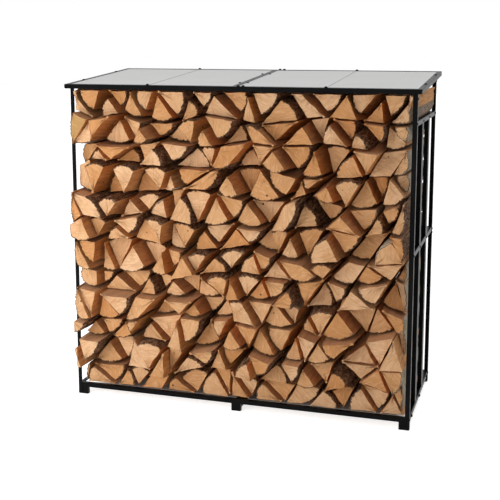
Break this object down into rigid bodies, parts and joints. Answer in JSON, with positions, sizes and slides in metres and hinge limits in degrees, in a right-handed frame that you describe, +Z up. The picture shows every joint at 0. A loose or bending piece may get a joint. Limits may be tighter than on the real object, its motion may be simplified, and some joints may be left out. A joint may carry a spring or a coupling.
{
  "type": "log store",
  "caption": "Open log store of folded black steel angles with slatted sides and back, a sloping grey sheet roof and a full stack of split logs.",
  "frame": {"origin": "bottom centre of the whole, on the ground under the middle of the rack and its logs", "axes": "+Z up, the open front faces -Y, X runs across the width"},
  "size_m": [1.85, 0.8946, 1.743],
  "materials": {
    "black_steel": "satin black powder coat",
    "roof_sheet": "smooth light grey coated sheet",
    "split_wood": "raw split and sawn wood with bark"
  },
  "bodies": {
    "root": {"leg_front_left": "black_steel", "leg_front_right": "black_steel", "leg_back_left": "black_steel", "leg_back_right": "black_steel", "corner_feet": "black_steel", "middle_feet": "black_steel", "front_bottom_rail": "black_steel", "back_bottom_rail": "black_steel", "back_middle_rail": "black_steel", "back_top_rail": "black_steel", "left_bottom_rail": "black_steel", "right_bottom_rail": "black_steel", "left_middle_rail": "black_steel", "right_middle_rail": "black_steel", "left_top_rail": "black_steel", "right_top_rail": "black_steel", "floor_cross_rail": "black_steel", "floor_slats": "black_steel", "left_slats": "black_steel", "right_slats": "black_steel", "back_lower_slats": "black_steel", "back_upper_slats": "black_steel", "roof_front_beam": "black_steel", "roof_back_beam": "black_steel", "roof_rafters": "black_steel", "roof_front_edge": "black_steel", "roof_back_edge": "black_steel", "roof_side_edges": "black_steel", "roof_centre_joint": "black_steel", "roof_centre_cover": "black_steel", "roof_left_sheets": "roof_sheet", "roof_right_sheets": "roof_sheet", "log_course_01": "split_wood", "log_course_02": "split_wood", "log_course_03": "split_wood", "log_course_04": "split_wood", "log_course_05": "split_wood", "log_course_06": "split_wood", "log_course_07": "split_wood", "log_course_08": "split_wood", "log_course_09": "split_wood", "log_course_10": "split_wood", "log_course_11": "split_wood", "log_course_12": "split_wood"}
  },
  "joints": []
}
